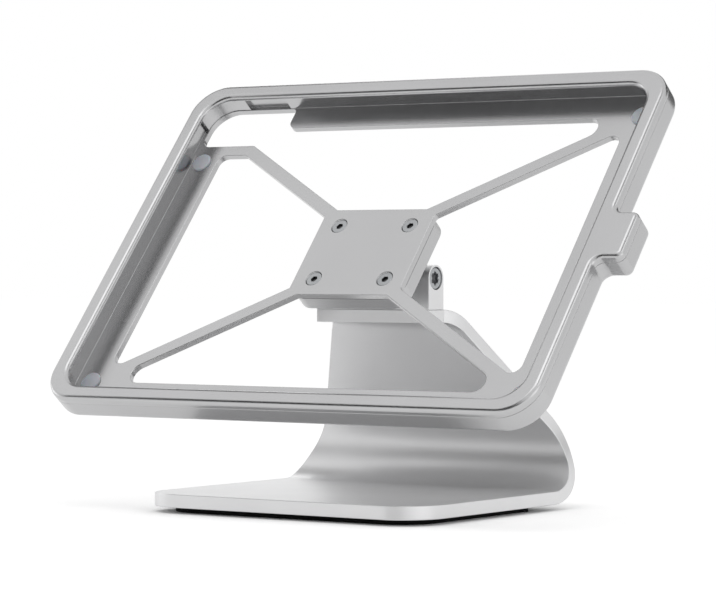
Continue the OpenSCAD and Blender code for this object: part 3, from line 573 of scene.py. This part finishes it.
def build_pads():
    """Four slightly domed pads."""
    places = {
        "pad_top_left": (-PX + CUTOUT_PAD_X, BAR_TOP - CUTOUT_PAD_Y),
        "pad_top_right": (PX - PAD_X, PY - PAD_Y),
        "pad_bottom_left": (-PX + PAD_X, -PY + PAD_Y),
        "pad_bottom_right": (PX - PAD_X, -PY + PAD_Y),
    }
    profile = [(0, 5.0), (0.55, 5.0), (0.8, 4.85), (0.93, 4.55), (0.98, 3.8), (PAD_T, 2.0)]
    for name, (x, y) in places.items():
        shell = Shell()
        low, high = shell.tube(x, y, [(FLOOR_Z + up, r) for up, r in profile], 40)
        shell.cap(low)
        shell.cap(high)
        shell.make(name + "_dressed", "tray", SILICONE, IN_TRAY, [name], 60)


def hexagon(x, y, r):
    """Points of a hexagon, by the radius to its corners."""
    return circle(x, y, r, 6)


def lobes(r, steps=96):
    """Points of a six-lobed socket's outline: a circle with six smaller ones on its rim."""
    core, centre, lobe = 0.78 * r, 0.72 * r, 0.28 * r
    points = []
    for k in range(steps):
        t = 2 * math.pi * k / steps
        off = (t + math.pi / 6) % (math.pi / 3) - math.pi / 6
        reach = core
        side = centre * math.sin(off)
        if abs(side) < lobe:
            reach = max(reach, centre * math.cos(off) + math.sqrt(lobe ** 2 - side ** 2))
        points.append(Vector((reach * math.cos(t), reach * math.sin(t))))
    return points


def build_plate_screws():
    """Countersunk screws, a little below the plate, with deep hexagon sockets."""
    shell = Shell()
    top, tip_z = FLOOR_Z - HEAD_DROP, FLOOR_Z - 8.47
    shank_r, mouth_r, socket_r = 1.98, 1.92, 1.7
    levels = [(top, 3.35), (top - 0.08, 3.62), (top - 0.25, 3.75)]
    levels += [(top - 2.02, shank_r), (tip_z, shank_r)]
    for x, y in casing_screw_places():
        head, tip = shell.tube(x, y, levels, 40)
        shell.cap(tip)
        mouth = shell.ring(hexagon(x, y, mouth_r), top)
        shell.fill(head, mouth)
        brink = shell.ring(hexagon(x, y, socket_r), top - 0.22)
        shell.wall([mouth, brink])
        first = len(shell.faces)
        foot = shell.ring(hexagon(x, y, socket_r), top - 1.6)
        shell.wall([brink, foot])
        drill_tip = shell.ring(hexagon(x, y, 0.3), top - 2.1)
        shell.wall([foot, drill_tip])
        shell.cap(drill_tip)
        # The socket's walls below its brink and its drill point get painted shade.
        shell.shade(first)
    shell.make("casing_screws_dressed", "tray", STEEL, IN_TRAY, ["casing_screws"], 35, SOCKET_SHADE)


def build_pivot_screws():
    """Low round heads with deep lobed sockets, one in each ear."""
    top = SHELF_W / 2 - HEAD_DROP
    seat = top - PIVOT_HEAD_T
    head_r, shank_r = 5.0, 2.5
    levels = [(top, 4.35), (top - 0.12, 4.72), (top - 0.45, head_r), (seat, head_r)]
    levels += [(seat, shank_r), (seat - PIVOT_SCREW_L, shank_r)]
    for side, turn in (("right", 90), ("left", -90)):
        shell = Shell()
        head, tip = shell.tube(0, 0, levels, 48)
        shell.cap(tip)
        mouth = shell.ring([p * 1.12 for p in lobes(SOCKET_R)], top)
        shell.fill(head, mouth)
        foot = shell.ring(lobes(SOCKET_R), top - 1.7)
        shell.wall([mouth, shell.ring(lobes(SOCKET_R), top - 0.35), foot])
        first = len(shell.faces)
        drill_tip = shell.ring([p * 0.2 for p in lobes(SOCKET_R)], top - 2.4)
        shell.wall([foot, drill_tip])
        shell.cap(drill_tip)
        # The socket's drill point gets painted shade.
        shell.shade(first)
        place = Matrix.Translation(PIVOT) @ Matrix.Rotation(math.radians(turn), 4, "Y")
        name = "pivot_screw_" + side
        shell.make(name + "_dressed", "stand", STEEL, place, [name], 35, SOCKET_SHADE)


build_stand()
build_plate_screws()
build_pivot_screws()
build_casing()
build_bezel()
build_block()
build_pads()

# Nodes that stay as the CAD made them: the finish, and the width of a fine bevel
FINISH = {
    "hinge_bracket": (SATIN, 0.4), "bracket_screws": (DARK_STEEL, 0.1), "hinge_axle": (STEEL, 0.2),
    "disc_spring_right": (DARK_STEEL, 0), "disc_spring_left": (DARK_STEEL, 0),
    "friction_washer_right": (LINING, 0), "friction_washer_left": (LINING, 0),
    "hinge_bush_right": (BRONZE, 0), "hinge_bush_left": (BRONZE, 0),
    "hinge_knuckle": (MACHINED, 0.3), "knuckle_screws": (STEEL, 0.08),
    "bezel_screws": (DARK_STEEL, 0.08), "cable_grommet": (RUBBER, 0.15),
    "plug_holder": (PLASTIC, 0.25), "holder_screws": (DARK_STEEL, 0.08),
}
for node, (material, bevel) in FINISH.items():
    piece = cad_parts[node]
    piece.data.materials.clear()
    piece.data.materials.append(material)
    if bevel:
        edge = piece.modifiers.new("edge", "BEVEL")
        edge.width, edge.segments = bevel * MM, 2
        edge.limit_method, edge.angle_limit = "ANGLE", math.radians(40)
        edge.harden_normals = False


# The studio
def card(name, width, height):
    """A flat rectangle that is part of the studio."""
    mesh = bpy.data.meshes.new(name)
    w, h = width / 2, height / 2
    mesh.from_pydata([(-w, -h, 0), (w, -h, 0), (w, h, 0), (-w, h, 0)], [], [(0, 1, 2, 3)])
    sheet = bpy.data.objects.new(name, mesh)
    bpy.context.scene.collection.objects.link(sheet)
    return sheet


def seen_directly(tree, low, high):
    """A value that is high for camera, glossy and transmission rays, and low for the rest."""
    path = add(tree, "ShaderNodeLightPath")
    seen = path.outputs["Is Camera Ray"]
    for ray in ("Is Glossy Ray", "Is Transmission Ray"):
        either = add(tree, "ShaderNodeMath", operation="MAXIMUM")
        tree.links.new(seen, either.inputs[0])
        tree.links.new(path.outputs[ray], either.inputs[1])
        seen = either.outputs[0]
    chosen = add(tree, "ShaderNodeMapRange")
    chosen.inputs["To Min"].default_value = low
    chosen.inputs["To Max"].default_value = high
    tree.links.new(seen, chosen.inputs["Value"])
    return chosen.outputs["Result"]


# Strengths of the floor and the world, as light on the object and where they are seen
WHITE = (1, 1, 1, 1)
FLOOR_LIGHT, FLOOR_SEEN = 0.0, 0.36
WORLD_LIGHT, WORLD_SEEN = 0.75, 1.0
FLOOR_SIZE, CONTACT = 12.0, 0.03

# The floor is white where it is seen, but for the object's shadow and the dark where the two meet.
paper, paper_tree, paper_shader = principled("white_paper", Roughness=0.6, Specular_IOR_Level=0.0)
paper_shader.inputs["Base Color"].default_value = (0.86, 0.86, 0.86, 1)
paper_shader.inputs["Emission Color"].default_value = WHITE
near = add(paper_tree, "ShaderNodeAmbientOcclusion", samples=8)
near.inputs["Distance"].default_value = CONTACT
lift = add(paper_tree, "ShaderNodeMath", operation="MULTIPLY")
paper_tree.links.new(seen_directly(paper_tree, FLOOR_LIGHT, FLOOR_SEEN), lift.inputs[0])
paper_tree.links.new(near.outputs["AO"], lift.inputs[1])
paper_tree.links.new(lift.outputs[0], paper_shader.inputs["Emission Strength"])
card("floor", FLOOR_SIZE, FLOOR_SIZE).data.materials.append(paper)

world = bpy.data.worlds.new("studio")
bpy.context.scene.world = world
world.use_nodes = True
tree = world.node_tree
back = tree.nodes["Background"]
back.inputs["Color"].default_value = WHITE
tree.links.new(seen_directly(tree, WORLD_LIGHT, WORLD_SEEN), back.inputs["Strength"])


def aim(item, place, target, axis):
    """Puts a lamp or card at a place, with its axis towards the target."""
    item.location = place
    item.rotation_euler = (Vector(target) - Vector(place)).to_track_quat(axis, "Y").to_euler()


def area_light(name, place, target, width, height, radiance):
    """A rectangular lamp of an even brightness."""
    data = bpy.data.lights.new(name, "AREA")
    data.shape, data.size, data.size_y = "RECTANGLE", width, height
    data.energy = radiance * width * height * math.pi
    lamp = bpy.data.objects.new(name, data)
    aim(lamp, place, target, "-Z")
    bpy.context.scene.collection.objects.link(lamp)


def flag(name, place, target, width, height, grey):
    """A grey card that only reflections see, as a studio's flags are kept out of the picture."""
    sheet = card(name, width, height)
    aim(sheet, place, target, "Z")
    sheet.visible_camera = sheet.visible_diffuse = sheet.visible_shadow = False
    sheet.visible_transmission = sheet.visible_volume_scatter = False
    material, _, shader = principled(name + "_grey", Roughness=1.0, Specular_IOR_Level=0.0)
    shader.inputs["Base Color"].default_value = (0, 0, 0, 1)
    shader.inputs["Emission Color"].default_value = WHITE
    shader.inputs["Emission Strength"].default_value = grey
    sheet.data.materials.append(material)


# Lamps and flags: place, what each faces, width and height, in metres, and then the brightness
BASE, TRAY = (0, 0, 0.05), (0, 0, 0.12)
area_light("top_softbox", (0.08, -0.38, 1.25), TRAY, 0.86, 0.5, 1.0)
area_light("upper_left_softbox", (-0.95, -0.2, 1.0), (-0.1, 0, 0.12), 0.5, 0.7, 0.1)
area_light("upper_right_softbox", (0.95, -0.12, 0.96), (0.04, 0, 0.12), 0.36, 0.4, 0.9)
area_light("back_left_softbox", (-0.72, 0.84, 0.62), BASE, 0.34, 0.2, 1.1)
area_light("right_softbox", (1.2, -0.2, 0.24), BASE, 0.8, 0.5, 0.6)
area_light("left_softbox", (-1.2, -0.2, 0.2), BASE, 0.6, 0.36, 0.9)
flag("front_left_flag", (-0.08, -0.31, 0.22), (0.05, 0.07, 0.19), 0.52, 0.22, 0.05)
flag("front_flag", (0.24, -0.97, 0.16), (0.05, 0, 0.05), 0.8, 0.4, 0.125)
flag("upper_right_flag", (0.5, -0.17, 1.04), (-0.1, 0, 0.12), 0.34, 0.5, 0.57)
flag("back_flag", (0.16, 0.6, 0.4), (0.1, 0, 0.12), 0.5, 0.3, 0.125)
flag("back_left_flag", (-0.68, 0.31, 0.8), TRAY, 0.46, 0.34, 0.19)

# The camera. Its place, from the middle of the tray's front face, is solved from the photograph.
TRAY_CENTRE = IN_TRAY @ Vector((0, 0, 0))
CAMERA_PLACE = TRAY_CENTRE + Vector((780.618, -1113.574, -12.576))
FORWARD = Vector((-0.57186, 0.82023, -0.013984))
RIGHT = Vector((0.820311, 0.571917, 0.0))
UP = RIGHT.cross(FORWARD)
camera_data = bpy.data.cameras.new("camera")
camera_data.sensor_width, camera_data.lens = 36.0, 153.57
camera_data.clip_start, camera_data.clip_end = 0.05, 30
camera = bpy.data.objects.new("camera", camera_data)
turn = Matrix((RIGHT, UP, -FORWARD)).transposed().to_4x4()
camera.matrix_world = Matrix.Translation(CAMERA_PLACE * MM) @ turn
bpy.context.scene.collection.objects.link(camera)
bpy.context.scene.camera = camera
bpy.context.scene.view_settings.view_transform = "Standard"
